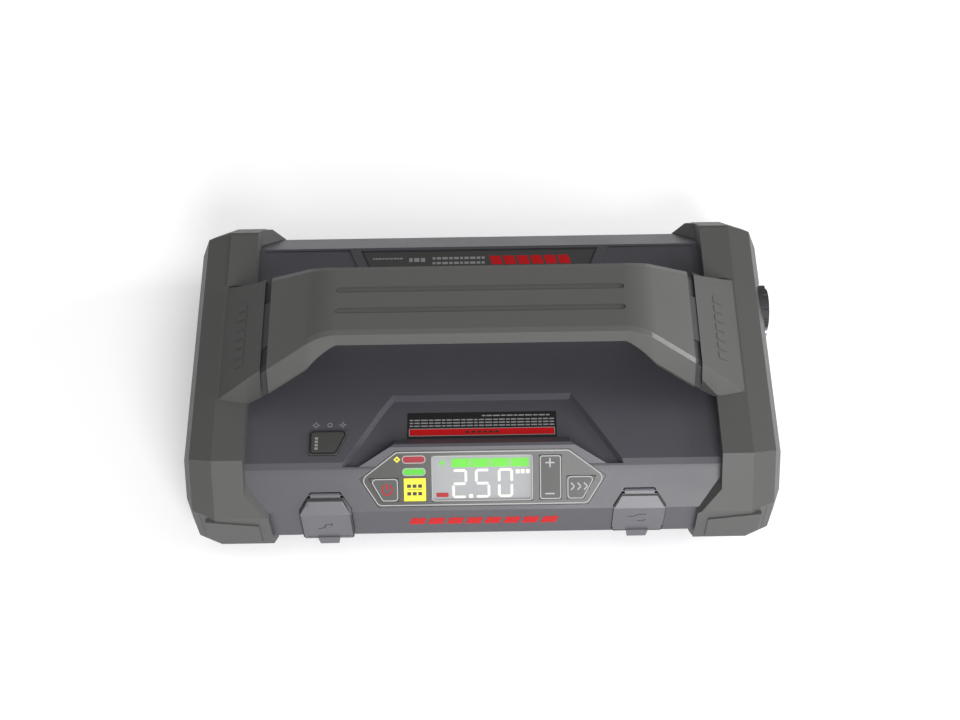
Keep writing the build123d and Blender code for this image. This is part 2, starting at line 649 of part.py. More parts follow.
def lamp_board():
    """Board with one light source behind each bowl."""
    board = block(-119.5, -118.0, -17, 17, 23.5, 38.5)
    for y in LAMP_BOWLS_Y:
        board += block(-120.3, -119.4, y - 1.4, y + 1.4, LAMP_AXIS[1] - 1.4, LAMP_AXIS[1] + 1.4)
    return board


# ---------------------------------------------------------------- battery and boards
def battery_cells():
    """Stack of four flat lithium cells."""
    return [block(-108, -14, -34, 50, 9.6 + 8.4 * n, 17.6 + 8.4 * n) for n in range(4)]


def battery_tray():
    """Open tray that holds the cells."""
    tray = block(-110.5, -11.5, -36.5, 52.5, 7.6, 40.0)
    return tray - block(-108.4, -13.6, -34.4, 50.4, 9.4, 60)


def bus_bars():
    """Copper straps from the cells to the jump socket."""
    bars = []
    for dx in (-4.3, 4.3):
        x0, x1 = JUMP_X + dx - 3, JUMP_X + dx + 3
        bars.append(block(x0, x1, -50.9, -38.0, 27.2, 28.8) + block(x0, x1, -39.2, -37.6, 27.2, 44.0)
                    + block(x0, x1, -39.2, -30, 42.8, 44.0))
    return bars


def main_board():
    """Power board over the cells."""
    board = block(-100, -20, -10, 50, 44.0, 45.6)
    for x, y, length, width in ((-90, 10, 14, 14), (-64, 20, 20, 12), (-34, 4, 10, 10), (-46, 38, 22, 8)):
        board += block(x, x + length, y, y + width, 45.6, 47.4)
    return board


def relay():
    """Power relay beside the jump socket."""
    return block(-52, -32, -58, -42, 7.0, 26.0) + block(-50, -34, -56, -44, 26.0, 27.2)


def capacitors():
    """Three storage capacitors."""
    return [rod_z(5.5, 6.6, 26, x, -50) for x in (-20, -6, 8)]


# ---------------------------------------------------------------- compressor
def gear_outline(teeth, phase):
    """Trapezoidal tooth outline of a spur gear as (y, z) corners about its axis."""
    pitch_radius = MODULE * teeth / 2
    rows = [(pitch_radius - 1.25, 0.98), (pitch_radius, 0.66), (pitch_radius + 0.85, 0.33)]
    corners = []
    for tooth in range(teeth):
        middle = phase + 2 * math.pi * tooth / teeth
        for radius, half in rows + [(r, -w) for r, w in rows[::-1]]:
            angle = middle - half / radius
            corners.append((radius * math.cos(angle), radius * math.sin(angle)))
    return corners


def spur_gear(teeth, phase, x0, x1, axis):
    """Spur gear along X around an axis at (y, z)."""
    return prism_x([(axis[0] + y, axis[1] + z) for y, z in gear_outline(teeth, phase)], x0, x1)


def motor_can():
    """Steel can of the compressor's motor."""
    can = rod_x(MOTOR_RADIUS, MOTOR_START_X, MOTOR_END_X, *MOTOR_AXIS)
    can -= rod_x(MOTOR_RADIUS - 1.5, MOTOR_START_X + 2, MOTOR_END_X - 2, *MOTOR_AXIS)
    return can - rod_x(1.5 + RUNNING, MOTOR_START_X - 1, MOTOR_END_X + 1, *MOTOR_AXIS)


def motor_magnets():
    """Two curved magnets inside the can."""
    ring = rod_x(MOTOR_RADIUS - 1.55, 19, 57, *MOTOR_AXIS) - rod_x(11.6, 18, 58, *MOTOR_AXIS)
    y, z = MOTOR_AXIS
    gap = block(18, 58, y - 20, y + 20, z - 3, z + 3)
    parts = ring - gap
    return list(parts.solids())


def motor_rotor():
    """Wound rotor on the motor's shaft."""
    rotor = rod_x(11.0, 20, 52, *MOTOR_AXIS) + rod_x(5.0, 52, 58, *MOTOR_AXIS)
    y, z = MOTOR_AXIS
    for n in range(5):
        angle = 2 * math.pi * n / 5
        rotor -= rod_x(1.6, 19, 53, y + 10.2 * math.cos(angle), z + 10.2 * math.sin(angle))
    return rotor - rod_x(1.5, 10, 60, y, z)


def motor_shaft():
    """Shaft that carries the rotor and the pinion."""
    return rod_x(1.5, MOTOR_START_X, GEAR_X[1] + 1.5, *MOTOR_AXIS)


def drive_pinion():
    """Small gear on the motor's shaft."""
    phase = math.pi + math.pi / PINION_TEETH
    pinion = spur_gear(PINION_TEETH, phase, GEAR_X[0] - 0.5, GEAR_X[1] + 0.5, MOTOR_AXIS)
    return pinion - rod_x(1.5, 50, 90, *MOTOR_AXIS)


def crank_pin_axis():
    """(y, z) of the crank pin with the piston at the head end of its stroke."""
    return (CRANK_AXIS[0] - CRANK_THROW, CRANK_AXIS[1])


def crank_gear():
    """Large gear that drives the crank."""
    y, z = CRANK_AXIS
    gear = spur_gear(GEAR_TEETH, 0.0, GEAR_X[0], GEAR_X[1], CRANK_AXIS)
    for n in range(6):
        angle = math.pi / 6 + math.pi * n / 3
        gear -= rod_x(2.6, 60, 80, y + 11.5 * math.cos(angle), z + 11.5 * math.sin(angle))
    return gear - rod_x(2.5, 60, 80, y, z)


def crank_shaft():
    """Shaft of the large gear with its web and crank pin."""
    y, z = crank_pin_axis()
    shaft = rod_x(2.5, 58.5, 73.0, *CRANK_AXIS) + rod_x(7.0, 72.5, 75.2, *CRANK_AXIS)
    return shaft + rod_x(2.5, 75.2, 80.8, y, z)


def crank_bearing():
    """Bearing of the crank shaft in the gear frame."""
    return rod_x(6.0, 62.5, 66.2, *CRANK_AXIS) - rod_x(2.5 + RUNNING, 60, 70, *CRANK_AXIS)


def cylinder_axis():
    """(x, z) of the cylinder's axis."""
    return ((ROD_X[0] + ROD_X[1]) / 2, CRANK_AXIS[1])


def small_end_y():
    """Y of the rod's small end with the piston at the head."""
    return CRANK_AXIS[0] - CRANK_THROW - ROD_LENGTH


def connecting_rod():
    """Rod between the crank pin and the piston."""
    pin_y, z = crank_pin_axis()
    end_y = small_end_y()
    rod = rod_x(5.0, ROD_X[0], ROD_X[1], pin_y, z) + rod_x(4.0, ROD_X[0], ROD_X[1], end_y, z)
    rod += block(ROD_X[0] + 0.6, ROD_X[1] - 0.6, end_y, pin_y, z - 2.2, z + 2.2)
    rod -= rod_x(2.5 + RUNNING, 60, 90, pin_y, z)
    return rod - rod_x(1.75, 60, 90, end_y, z)


def wrist_pin():
    """Pin in the rod's small end."""
    x, z = cylinder_axis()
    return rod_x(1.75, x - 4.6, x + 4.6, small_end_y(), z)


def piston():
    """Hollow piston with a groove for its ring."""
    x, z = cylinder_axis()
    front, rear = small_end_y() - 15.5, small_end_y() + 11.5
    body = rod_y(BORE_RADIUS - 0.1, front, rear, x, z) - rod_y(8.6, front + 3.5, rear + 1, x, z)
    groove = rod_y(BORE_RADIUS + 1, front + 1.2, front + 2.8, x, z) - rod_y(9.4, front, front + 4, x, z)
    return body - groove


def piston_ring():
    """Sealing ring in the piston's groove."""
    x, z = cylinder_axis()
    front = small_end_y() - 15.5
    return rod_y(BORE_RADIUS - 0.04, front + 1.3, front + 2.7, x, z) - rod_y(9.45, front, front + 4, x, z)


def cylinder():
    """Finned cylinder of the compressor."""
    x, z = cylinder_axis()
    front, rear = small_end_y() - 17.0, small_end_y() + 13.0
    tube = rod_y(BORE_RADIUS + 1.6, front, rear, x, z)
    for n in range(5):
        y = front + 3 + 5 * n
        tube += rod_y(BORE_RADIUS + 3.4, y, y + 1.2, x, z)
    return tube - rod_y(BORE_RADIUS, front - 1, rear + 1, x, z)


def cylinder_head():
    """Head with its outlet spigot."""
    x, z = cylinder_axis()
    front = small_end_y() - 17.0
    head = block(x - 13, x + 13, front - 6, front, z - 13, z + 13)
    head += rod_x(2.0, x + 12, x + 20, front - 3, z)
    return head - rod_x(1.1, x + 2, x + 21, front - 3, z)


def gear_frame():
    """Frame that ties the motor, the crank bearing and the cylinder together."""
    y, z = CRANK_AXIS
    x, _ = cylinder_axis()
    rear = small_end_y() + 13.0
    plate = block(62.5, 66.2, rear, MOTOR_AXIS[0] + 14, 9.0, 46.0)
    plate -= rod_x(6.0, 60, 70, y, z)
    plate -= rod_x(3.2, 60, 70, *MOTOR_AXIS)
    flange = block(62.5, 93, rear, rear + 3, z - 16, z + 16)
    flange -= rod_y(BORE_RADIUS + 0.4, rear - 1, rear + 4, x, z)
    foot = block(62.5, 93, rear, rear + 20, 7.0, 9.0)
    tip_radius = MODULE * GEAR_TEETH / 2 + 1.6
    foot -= rod_x(tip_radius, GEAR_X[0] - 0.6, GEAR_X[1] + 0.7, y, z)
    return plate + flange + foot


def air_hose():
    """Pressure hose from the cylinder head to the outlet."""
    x, z = cylinder_axis()
    start_y = small_end_y() - 20.0
    points = [(x + 14.0, start_y, z), (104.0, start_y, z), (108.0, 2.0, 34.0),
              (108.0, *OUTLET_AXIS), (117.0, *OUTLET_AXIS)]
    radii = [8.0, 20.0, 4.0]
    print("air hose bend radii", radii)
    path = FilletPolyline(*points, radius=radii)
    tube = sweep(Plane(origin=path @ 0, z_dir=path % 0) * Circle(3.0), path=path)
    bore = sweep(Plane(origin=path @ 0, z_dir=path % 0) * Circle(2.05), path=path)
    return tube - bore


def air_outlet():
    """Outlet nipple in the right-hand end."""
    y, z = OUTLET_AXIS
    nipple = rod_x(2.0, 112.0, 117.0, y, z) + rod_x(5.0, 117.0, 127.0, y, z)
    nipple += rod_x(6.6, 119.5, 121.4, y, z) + rod_x(3.4, 127.0, 131.5, y, z)
    return nipple - rod_x(1.2, 111, 133, y, z)


def outlet_cap():
    """Dust cap over the outlet."""
    y, z = OUTLET_AXIS
    cap = rod_x(11.5, 127.2, 132.4, y, z) + rod_x(9.8, 132.4, 133.4, y, z)
    for n in range(12):
        angle = 2 * math.pi * n / 12
        cap -= rod_x(1.1, 130.6, 134, y + 12.0 * math.cos(angle), z + 12.0 * math.sin(angle))
    return cap - rod_x(3.45, 127, 131.8, y, z)


def tether_ring():
    """Small steel ring beside the dust cap."""
    y, z = RING_POST
    ring = rod_x(RING_RADIUS, 130.7, 131.7, y, z) - rod_x(RING_RADIUS - 0.9, 130, 132, y, z)
    return ring + rod_x(RING_WIRE, 127.5, 131.2, y + RING_RADIUS - 0.5, z)


# ---------------------------------------------------------------- write every node
def build_nodes():
    """All nodes of the pack by name."""
    right_cap = end_cap()
    left_cap = mirror(right_cap, about=Plane.YZ) - lamp_block(-132, -123, 0.1)
    right_cap -= rod_x(5.0 + FIT, 120, 128, *OUTLET_AXIS) + rod_x(12.0, 127.0, 132, *OUTLET_AXIS)
    right_cap -= rod_x(RING_WIRE, 127.5, 132, RING_POST[0] + RING_RADIUS - 0.5, RING_POST[1])
    nodes = {
        "upper_shell": upper_shell(),
        "lower_shell": lower_shell(),
        "end_cap_left": left_cap,
        "end_cap_right": right_cap,
        "handle_core": handle_core(),
        "handle_grip": handle_grip(),
        "control_panel": control_panel(),
        "lcd_window": prism_slope(LCD_OUTLINE, -PANEL_THICKNESS, 0),
        "lcd_module": lcd_module(),
        "display_board": display_board(),
        "power_button": key(POWER_KEY),
        "unit_button": key(UNIT_KEY),
        "plus_minus_rocker": rocker(),
        "pump_button": key(PUMP_KEY),
        "light_button": light_button(),
        "jump_port_cover": port_cover(JUMP_X, 1.9),
        "usb_port_cover": port_cover(USB_X, 0.5),
        "jump_cover_pin": hinge_pin(JUMP_X),
        "usb_cover_pin": hinge_pin(USB_X),
        "jump_socket": jump_socket(),
        "usb_a_socket": usb_socket(31.5, 13.2, 5.8),
        "usb_c_socket": usb_socket(23.5, 9.0, 3.4),
        "port_board": port_board(),
        "lamp_lens": lamp_lens(),
        "lamp_reflector": lamp_reflector(),
        "lamp_board": lamp_board(),
        "battery_tray": battery_tray(),
        "main_board": main_board(),
        "relay": relay(),
        "motor_can": motor_can(),
        "motor_rotor": motor_rotor(),
        "motor_shaft": motor_shaft(),
        "drive_pinion": drive_pinion(),
        "crank_gear": crank_gear(),
        "crank_shaft": crank_shaft(),
        "crank_bearing": crank_bearing(),
        "connecting_rod": connecting_rod(),
        "wrist_pin": wrist_pin(),
        "piston": piston(),
        "piston_ring": piston_ring(),
        "cylinder": cylinder(),
        "cylinder_head": cylinder_head(),
        "gear_frame": gear_frame(),
        "air_hose": air_hose(),
        "air_outlet": air_outlet(),
        "outlet_cap": outlet_cap(),
        "tether_ring": tether_ring(),
        "info_label": block(-33, 33, -45.5, -32.4, POCKET_FLOOR, POCKET_FLOOR + 0.2),
        "rear_label": prism_z(inset(REAR_LABEL, 0.1), CASE_TOP - PANEL_RECESS, CASE_TOP - 0.2),
    }
    for name, centre in PIPE_CENTRES.items():
        nodes[name] = pill(centre, 0, -4.0, 0)
    groups = {
        "case_screws": case_screws(),
        "cap_screws": cap_screws(),
        "handle_screws": handle_screws(),
        "rubber_feet": rubber_feet(),
        "jump_contacts": jump_contacts(),
        "battery_cells": battery_cells(),
        "bus_bars": bus_bars(),
        "capacitors": capacitors(),
        "motor_magnets": motor_magnets(),
    }
    for name, solids in groups.items():
        nodes[name] = Compound(children=[solid.solid() for solid in solids])
    return nodes


def main():
    """Write one STEP file per node."""
    os.makedirs("parts", exist_ok=True)
    for name, shape in build_nodes().items():
        export_step(shape, f"parts/{name}.step")


main()
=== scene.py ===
"""Looks of the jump starter pack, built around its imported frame. Blender 4.5, metres."""
import json
import math

import bmesh
import bpy
from mathutils import Matrix, Vector


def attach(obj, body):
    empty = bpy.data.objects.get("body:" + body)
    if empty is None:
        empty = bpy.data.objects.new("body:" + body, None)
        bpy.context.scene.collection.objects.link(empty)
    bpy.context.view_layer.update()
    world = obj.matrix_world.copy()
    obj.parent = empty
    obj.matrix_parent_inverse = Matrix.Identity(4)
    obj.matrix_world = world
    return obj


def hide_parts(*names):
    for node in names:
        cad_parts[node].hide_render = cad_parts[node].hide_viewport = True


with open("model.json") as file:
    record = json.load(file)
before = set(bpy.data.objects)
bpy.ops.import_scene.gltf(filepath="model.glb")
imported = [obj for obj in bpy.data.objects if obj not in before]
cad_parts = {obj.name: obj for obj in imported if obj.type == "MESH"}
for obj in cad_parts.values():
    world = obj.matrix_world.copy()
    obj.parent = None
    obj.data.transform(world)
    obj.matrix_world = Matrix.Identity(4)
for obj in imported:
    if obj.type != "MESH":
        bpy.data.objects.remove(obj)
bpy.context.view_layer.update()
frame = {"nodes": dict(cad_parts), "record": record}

MM = 0.001
NODES = frame["nodes"]
BODY_OF = {node: body for body, nodes in frame["record"]["behaviour"]["bodies"].items() for node in nodes}
SLOT_OF = {part["node"]: part["material_slot"] for part in frame["record"]["subparts"]}

# Places on the case, in millimetres, as the CAD has them
BELT_Y = -75.2
BELT_TOP = 38.0
CASE_TOP = 52.5
POCKET_FLOOR = 49.5
SLOPE_ANGLE = math.atan2(10.4, 11.7)
REAR_LABEL_TOP = 52.3
LAMP_KEY_TOP = 53.3
LAMP_KEY = [(-75.6, -54.8), (-63.7, -54.8), (-58.5, -42.8), (-75.6, -42.8)]
JUMP_X, JUMP_PROUD = -68.8, 1.9
USB_X, USB_PROUD = 68.3, 0.5
COVER_HALF, COVER_TOP_HALF = 11.3, 7.93
COVER_TOP_S, COVER_BOTTOM = 6.2, 17.4
RIM_WIDTH = 0.55
LEG_FALL = 0.6957
SHOULDER_X, SHOULDER_Z = 96.5, 73.56

# Thickness of printing, and the layer that marks rounded edges for a painted highlight
PRINT, THIN_PRINT = 0.06, 0.03
HIGHLIGHT_LAYER = "edge_highlight_paint"
CREASE = math.radians(36)


# ---------------------------------------------------------------- camera, light, floor
CAMERA_AT = Vector((-0.4, -415.1, 681.6)) * MM
CAMERA_PITCH = math.radians(57.0)
CAMERA_ROLL = math.radians(-0.9)
CAMERA_LENS = 62.25
FLOOR_HALF = 6.0
FLOOR_COLOUR, FLOOR_GLOW = (0.8, 0.8, 0.81), 0.22
BRIGHT_SIDE = (0.5, -0.45, 0.74)
SKY_DIM, SKY_BRIGHT = 0.2, 0.72
LIGHT_AIM, LIGHT_SIZE = (0, 0, 0.03), 0.7
LIGHTS = (("front", (0.3, -1.3, 0.9), 23.0), ("right", (1.5, 0.0, 0.6), 19.0))


def add_camera():
    """Camera at the viewing angle of the reference view."""
    data = bpy.data.cameras.new("camera")
    data.lens = CAMERA_LENS
    data.clip_start = 0.02
    camera = bpy.data.objects.new("camera", data)
    bpy.context.scene.collection.objects.link(camera)
    turn = Matrix.Rotation(math.pi / 2 - CAMERA_PITCH, 4, "X") @ Matrix.Rotation(CAMERA_ROLL, 4, "Z")
    camera.matrix_world = Matrix.Translation(CAMERA_AT) @ turn
    bpy.context.scene.camera = camera


def add_light(name, place, power):
    """Square area light aimed at the pack."""
    data = bpy.data.lights.new(name, "AREA")
    data.size = LIGHT_SIZE
    data.energy = power
    lamp = bpy.data.objects.new(name, data)
    bpy.context.scene.collection.objects.link(lamp)
    aim = (Vector(LIGHT_AIM) - Vector(place)).to_track_quat("-Z", "Y").to_matrix().to_4x4()
    lamp.matrix_world = Matrix.Translation(place) @ aim


def add_studio():
    """Pale floor, a pale sky that is brighter at the front right, and two soft lights."""
    mesh = bpy.data.meshes.new("floor")
    half = FLOOR_HALF
    corners = [(-half, -half, 0), (half, -half, 0), (half, half, 0), (-half, half, 0)]
    mesh.from_pydata(corners, [], [(0, 1, 2, 3)])
    floor = bpy.data.objects.new("floor", mesh)
    bpy.context.scene.collection.objects.link(floor)
    paint = plain_material("floor_paint", FLOOR_COLOUR, 0.9)
    shader = paint.node_tree.nodes["Principled BSDF"]
    shader.inputs["Emission Color"].default_value = (1.0, 1.0, 1.0, 1)
    shader.inputs["Emission Strength"].default_value = FLOOR_GLOW
    floor.data.materials.append(paint)
    world = bpy.data.worlds.new("studio")
    world.use_nodes = True
    nodes, links = world.node_tree.nodes, world.node_tree.links
    nodes["Background"].inputs["Color"].default_value = (1.0, 1.0, 1.0, 1)
    heading = nodes.new("ShaderNodeTexCoord")
    lean = nodes.new("ShaderNodeVectorMath")
    lean.operation = "DOT_PRODUCT"
    lean.inputs[1].default_value = BRIGHT_SIDE
    strength = nodes.new("ShaderNodeMapRange")
    strength.inputs["From Min"].default_value = -1.0
    strength.inputs["To Min"].default_value = SKY_DIM
    strength.inputs["To Max"].default_value = SKY_BRIGHT
    links.new(heading.outputs["Generated"], lean.inputs[0])
    links.new(lean.outputs["Value"], strength.inputs["Value"])
    links.new(strength.outputs["Result"], nodes["Background"].inputs["Strength"])
    bpy.context.scene.world = world
    for light in LIGHTS:
        add_light(*light)
    bpy.context.scene.view_settings.view_transform = "Standard"


# ---------------------------------------------------------------- materials
SLOW_SCALE = 38.0
FINE_SHARE, SLOW_SHARE = 0.45, 0.55
COAT_ROUGHNESS = 0.12


def srgb(red, green, blue):
    """Linear colour from 8-bit display values."""
    def linear(value):
        value /= 255
        return value / 12.92 if value <= 0.04045 else ((value + 0.055) / 1.055) ** 2.4
    return tuple(linear(v) for v in (red, green, blue))


def plain_material(name, colour, roughness):
    """Principled material of one colour, for the floor."""
    material = bpy.data.materials.new(name)
    material.use_nodes = True
    shader = material.node_tree.nodes["Principled BSDF"]
    shader.inputs["Base Color"].default_value = (*colour, 1)
    shader.inputs["Roughness"].default_value = roughness
    return material


def painted_edge_highlight(nodes, links, finish, noise, colour):
    """Colour output with a painted highlight: it pales a little, unevenly, along the rounded edges."""
    edge = nodes.new("ShaderNodeAttribute")
    edge.attribute_name = HIGHLIGHT_LAYER
    # Noise makes the painted edge highlight uneven
    uneven_highlight = nodes.new("ShaderNodeMapRange")
    uneven_highlight.inputs["From Min"].default_value = 0.35
    uneven_highlight.inputs["From Max"].default_value = 0.75
    uneven_highlight.inputs["To Min"].default_value = 0.35
    links.new(noise.outputs["Fac"], uneven_highlight.inputs["Value"])
    amount = nodes.new("ShaderNodeMath")
    amount.operation = "MULTIPLY"
    links.new(edge.outputs["Fac"], amount.inputs[0])
    links.new(uneven_highlight.outputs["Result"], amount.inputs[1])
    mixed = nodes.new("ShaderNodeMix")
    mixed.data_type = "RGBA"
    # Colour of the painted highlight, paler than the surface's own colour
    mixed.inputs["B"].default_value = (*(min(1.0, c * 1.6 + 0.015) for c in colour), 1)
    links.new(finish, mixed.inputs["A"])
    links.new(amount.outputs["Value"], mixed.inputs["Factor"])
    return mixed.outputs["Result"]


def surface(name, colour, roughness, metallic=0.0, grain=0.35, depth=0.03, mottle=0.06, spread=0.06,
            coat=0.0, sheen=0.0, glow=0.0, gloss=0.5, stretch=None):
    """Procedural surface: fine grain as bump, and slow change of colour and roughness.

    grain is the size of the grain in millimetres and depth its height. mottle is how far the
    colour changes and spread how far the roughness does. gloss is the specular level, and
    stretch scales the grain along each axis, so that it looks brushed.
    """
    material = bpy.data.materials.new(name)
    material.use_nodes = True
    nodes, links = material.node_tree.nodes, material.node_tree.links
    shader = nodes["Principled BSDF"]
    place = nodes.new("ShaderNodeTexCoord")
    mapping = nodes.new("ShaderNodeMapping")
    mapping.inputs["Scale"].default_value = stretch or (1, 1, 1)
    links.new(place.outputs["Object"], mapping.inputs["Vector"])

    slow = nodes.new("ShaderNodeTexNoise")
    slow.inputs["Scale"].default_value = SLOW_SCALE
    slow.inputs["Detail"].default_value = 4.0
    fine = nodes.new("ShaderNodeTexNoise")
    fine.inputs["Scale"].default_value = 1.0 / (grain * MM)
    fine.inputs["Detail"].default_value = 2.0
    links.new(place.outputs["Object"], slow.inputs["Vector"])
    links.new(mapping.outputs["Vector"], fine.inputs["Vector"])

    ramp = nodes.new("ShaderNodeMix")
    ramp.data_type = "RGBA"
    dark = tuple(c * (1 - mottle) for c in colour)
    light = tuple(min(1.0, c * (1 + mottle)) for c in colour)
    ramp.inputs["A"].default_value = (*dark, 1)
    ramp.inputs["B"].default_value = (*light, 1)
    blend = nodes.new("ShaderNodeMath")
    blend.operation = "ADD"
    for i, (noise, share) in enumerate(((fine, FINE_SHARE), (slow, SLOW_SHARE))):
        part = nodes.new("ShaderNodeMath")
        part.operation = "MULTIPLY"
        part.inputs[1].default_value = share
        links.new(noise.outputs["Fac"], part.inputs[0])
        links.new(part.outputs["Value"], blend.inputs[i])
    links.new(blend.outputs["Value"], ramp.inputs["Factor"])
    # The base colour carries a painted highlight along the rounded edges
    links.new(painted_edge_highlight(nodes, links, ramp.outputs["Result"], slow, colour), shader.inputs["Base Color"])

    rough = nodes.new("ShaderNodeMapRange")
    rough.inputs["To Min"].default_value = max(0.02, roughness - spread)
    rough.inputs["To Max"].default_value = min(1.0, roughness + spread)
    links.new(slow.outputs["Fac"], rough.inputs["Value"])
    links.new(rough.outputs["Result"], shader.inputs["Roughness"])

    bump = nodes.new("ShaderNodeBump")
    bump.inputs["Strength"].default_value = 1.0
    bump.inputs["Distance"].default_value = depth * MM
    links.new(fine.outputs["Fac"], bump.inputs["Height"])
    links.new(bump.outputs["Normal"], shader.inputs["Normal"])

    shader.inputs["Metallic"].default_value = metallic
    shader.inputs["Specular IOR Level"].default_value = gloss
    shader.inputs["Coat Weight"].default_value = coat
    shader.inputs["Coat Roughness"].default_value = COAT_ROUGHNESS
    shader.inputs["Sheen Weight"].default_value = sheen
    if glow:
        links.new(ramp.outputs["Result"], shader.inputs["Emission Color"])
        shader.inputs["Emission Strength"].default_value = glow
    return material


def clear(name, tint, roughness=0.05, opacity=0.16):
    """Thin plastic, glossy and mostly see-through by its alpha, with faint moulding ripple."""
    material = bpy.data.materials.new(name)
    material.use_nodes = True
    nodes, links = material.node_tree.nodes, material.node_tree.links
    shader = nodes["Principled BSDF"]
    ripple = nodes.new("ShaderNodeTexNoise")
    ripple.inputs["Scale"].default_value = 160.0
    bump = nodes.new("ShaderNodeBump")
    bump.inputs["Distance"].default_value = 0.004 * MM
    links.new(ripple.outputs["Fac"], bump.inputs["Height"])
    links.new(bump.outputs["Normal"], shader.inputs["Normal"])
    shader.inputs["Base Color"].default_value = (*tint, 1)
    shader.inputs["Roughness"].default_value = roughness
    shader.inputs["Alpha"].default_value = opacity
    shader.inputs["IOR"].default_value = 1.49
    return material


def make_materials():
    """One finished material for each of the record's slots."""
    plastic = dict(grain=0.45, depth=0.035, mottle=0.05, gloss=0.4)
    metal = dict(metallic=1.0, grain=0.25, depth=0.006, mottle=0.10)
    printed = dict(grain=0.2, depth=0.002, mottle=0.03, gloss=0.15)
    return {
        "case_plastic": surface("case_plastic", srgb(64, 63, 69), 0.42, **plastic),
        "bumper_plastic": surface("bumper_plastic", srgb(68, 68, 67), 0.5, **plastic),
        "grip_rubber": surface("grip_rubber", srgb(68, 68, 66), 0.38, sheen=0.1, grain=0.3,
                               depth=0.04, mottle=0.06),
        "core_plastic": surface("core_plastic", srgb(50, 50, 51), 0.6, **plastic),
        "panel_gloss": surface("panel_gloss", srgb(70, 70, 69), 0.38, coat=0.15, **printed),
        "window_glass": clear("window_glass", (0.03, 0.035, 0.035), 0.2, 0.08),
        "display": surface("display", srgb(150, 152, 154), 0.5, glow=0.3, **printed),
        "board_green": surface("board_green", srgb(22, 88, 52), 0.4, coat=0.3, grain=0.8,
                               depth=0.01, mottle=0.15),
        "key_grey": surface("key_grey", srgb(56, 56, 55), 0.45, **plastic),
        "key_yellow": surface("key_yellow", srgb(214, 202, 62), 0.45, glow=0.12, **printed),
        "lamp_key": surface("lamp_key", srgb(54, 55, 52), 0.6, **plastic),
        "pipe_red": surface("pipe_red", srgb(134, 24, 38), 0.3, glow=0.1, coat=0.05, **printed),
        "pipe_green": surface("pipe_green", srgb(78, 168, 50), 0.3, glow=0.15, coat=0.05, **printed),
        "cover_rubber": surface("cover_rubber", srgb(80, 79, 85), 0.4, grain=0.35, depth=0.03, mottle=0.05),
        "steel": surface("steel", srgb(172, 172, 175), 0.3, stretch=(1, 6, 6), **metal),
        "screw_steel": surface("screw_steel", srgb(78, 78, 80), 0.38, **metal),
        "copper": surface("copper", srgb(214, 142, 104), 0.32, stretch=(6, 1, 1), **metal),
        "contact_brass": surface("contact_brass", srgb(222, 190, 112), 0.25, **metal),
        "socket_blue": surface("socket_blue", srgb(34, 72, 158), 0.45, **plastic),
        "lens_clear": clear("lens_clear", (0.93, 0.95, 0.96), 0.08, 0.22),
        "reflector": surface("reflector", srgb(222, 222, 224), 0.12, **metal),
        "foot_rubber": surface("foot_rubber", srgb(34, 34, 34), 0.8, grain=0.6, depth=0.06, mottle=0.12),
        "cell_foil": surface("cell_foil", srgb(188, 190, 194), 0.35, metallic=0.9, grain=1.6,
                             depth=0.05, mottle=0.05),
        "tray_plastic": surface("tray_plastic", srgb(42, 42, 44), 0.6, **plastic),
        "relay_black": surface("relay_black", srgb(28, 28, 30), 0.4, **plastic),
        "capacitor": surface("capacitor", srgb(34, 40, 74), 0.35, coat=0.4, **printed),
        "magnet": surface("magnet", srgb(66, 66, 68), 0.7, grain=0.5, depth=0.02, mottle=0.15),
        "rotor": surface("rotor", srgb(128, 104, 84), 0.45, metallic=0.8, grain=0.5, depth=0.04,
                         mottle=0.18, stretch=(5, 1, 1)),
        "cast_alloy": surface("cast_alloy", srgb(176, 177, 179), 0.5, metallic=0.9, grain=0.7,
                              depth=0.05, mottle=0.08),
        "gear_plastic": surface("gear_plastic", srgb(216, 214, 204), 0.45, **plastic),
        "bronze": surface("bronze", srgb(178, 148, 96), 0.45, metallic=0.9, grain=0.3,
                          depth=0.03, mottle=0.12),
        "seal_black": surface("seal_black", srgb(24, 24, 24), 0.6, **plastic),
        "hose_black": surface("hose_black", srgb(32, 32, 34), 0.65, grain=0.9, depth=0.12, mottle=0.15),
        "label_black": surface("label_black", srgb(30, 30, 31), 0.35, coat=0.2, **printed),
        "label_dark": surface("label_dark", srgb(62, 62, 62), 0.55, **printed),
        "print_light": surface("print_light", srgb(158, 159, 158), 0.5, **printed),
        "print_grey": surface("print_grey", srgb(128, 129, 129), 0.5, **printed),
        "print_red": surface("print_red", srgb(172, 14, 18), 0.5, **printed),
        "print_dark": surface("print_dark", srgb(40, 41, 40), 0.5, **printed),
        "display_green": surface("display_green", srgb(96, 196, 52), 0.5, glow=0.35, **printed),
        "print_yellow": surface("print_yellow", srgb(206, 194, 66), 0.5, glow=0.1, **printed),
        "display_light": surface("display_light", srgb(214, 213, 204), 0.5, glow=0.45, **printed),
    }


MATERIALS = make_materials()


# ---------------------------------------------------------------- CAD nodes with finished edges
def clean_copy(node):
    """Mesh data of a CAD node with its flat faces joined back into single faces."""
    work = bmesh.new()
    work.from_mesh(NODES[node].data)
    bmesh.ops.remove_doubles(work, verts=work.verts, dist=1e-6)
    bmesh.ops.dissolve_limit(work, angle_limit=math.radians(0.6), verts=work.verts, edges=work.edges)
    return work


def finish_piece(name, mesh, body, slot, replaced=()):
    """Object from a mesh that rides on a body and takes a slot's finish."""
    piece = bpy.data.objects.new(name, mesh)
    bpy.context.scene.collection.objects.link(piece)
    mesh.materials.clear()
    mesh.materials.append(MATERIALS[slot])
    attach(piece, body)
    if replaced:
        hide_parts(*replaced)
    return piece


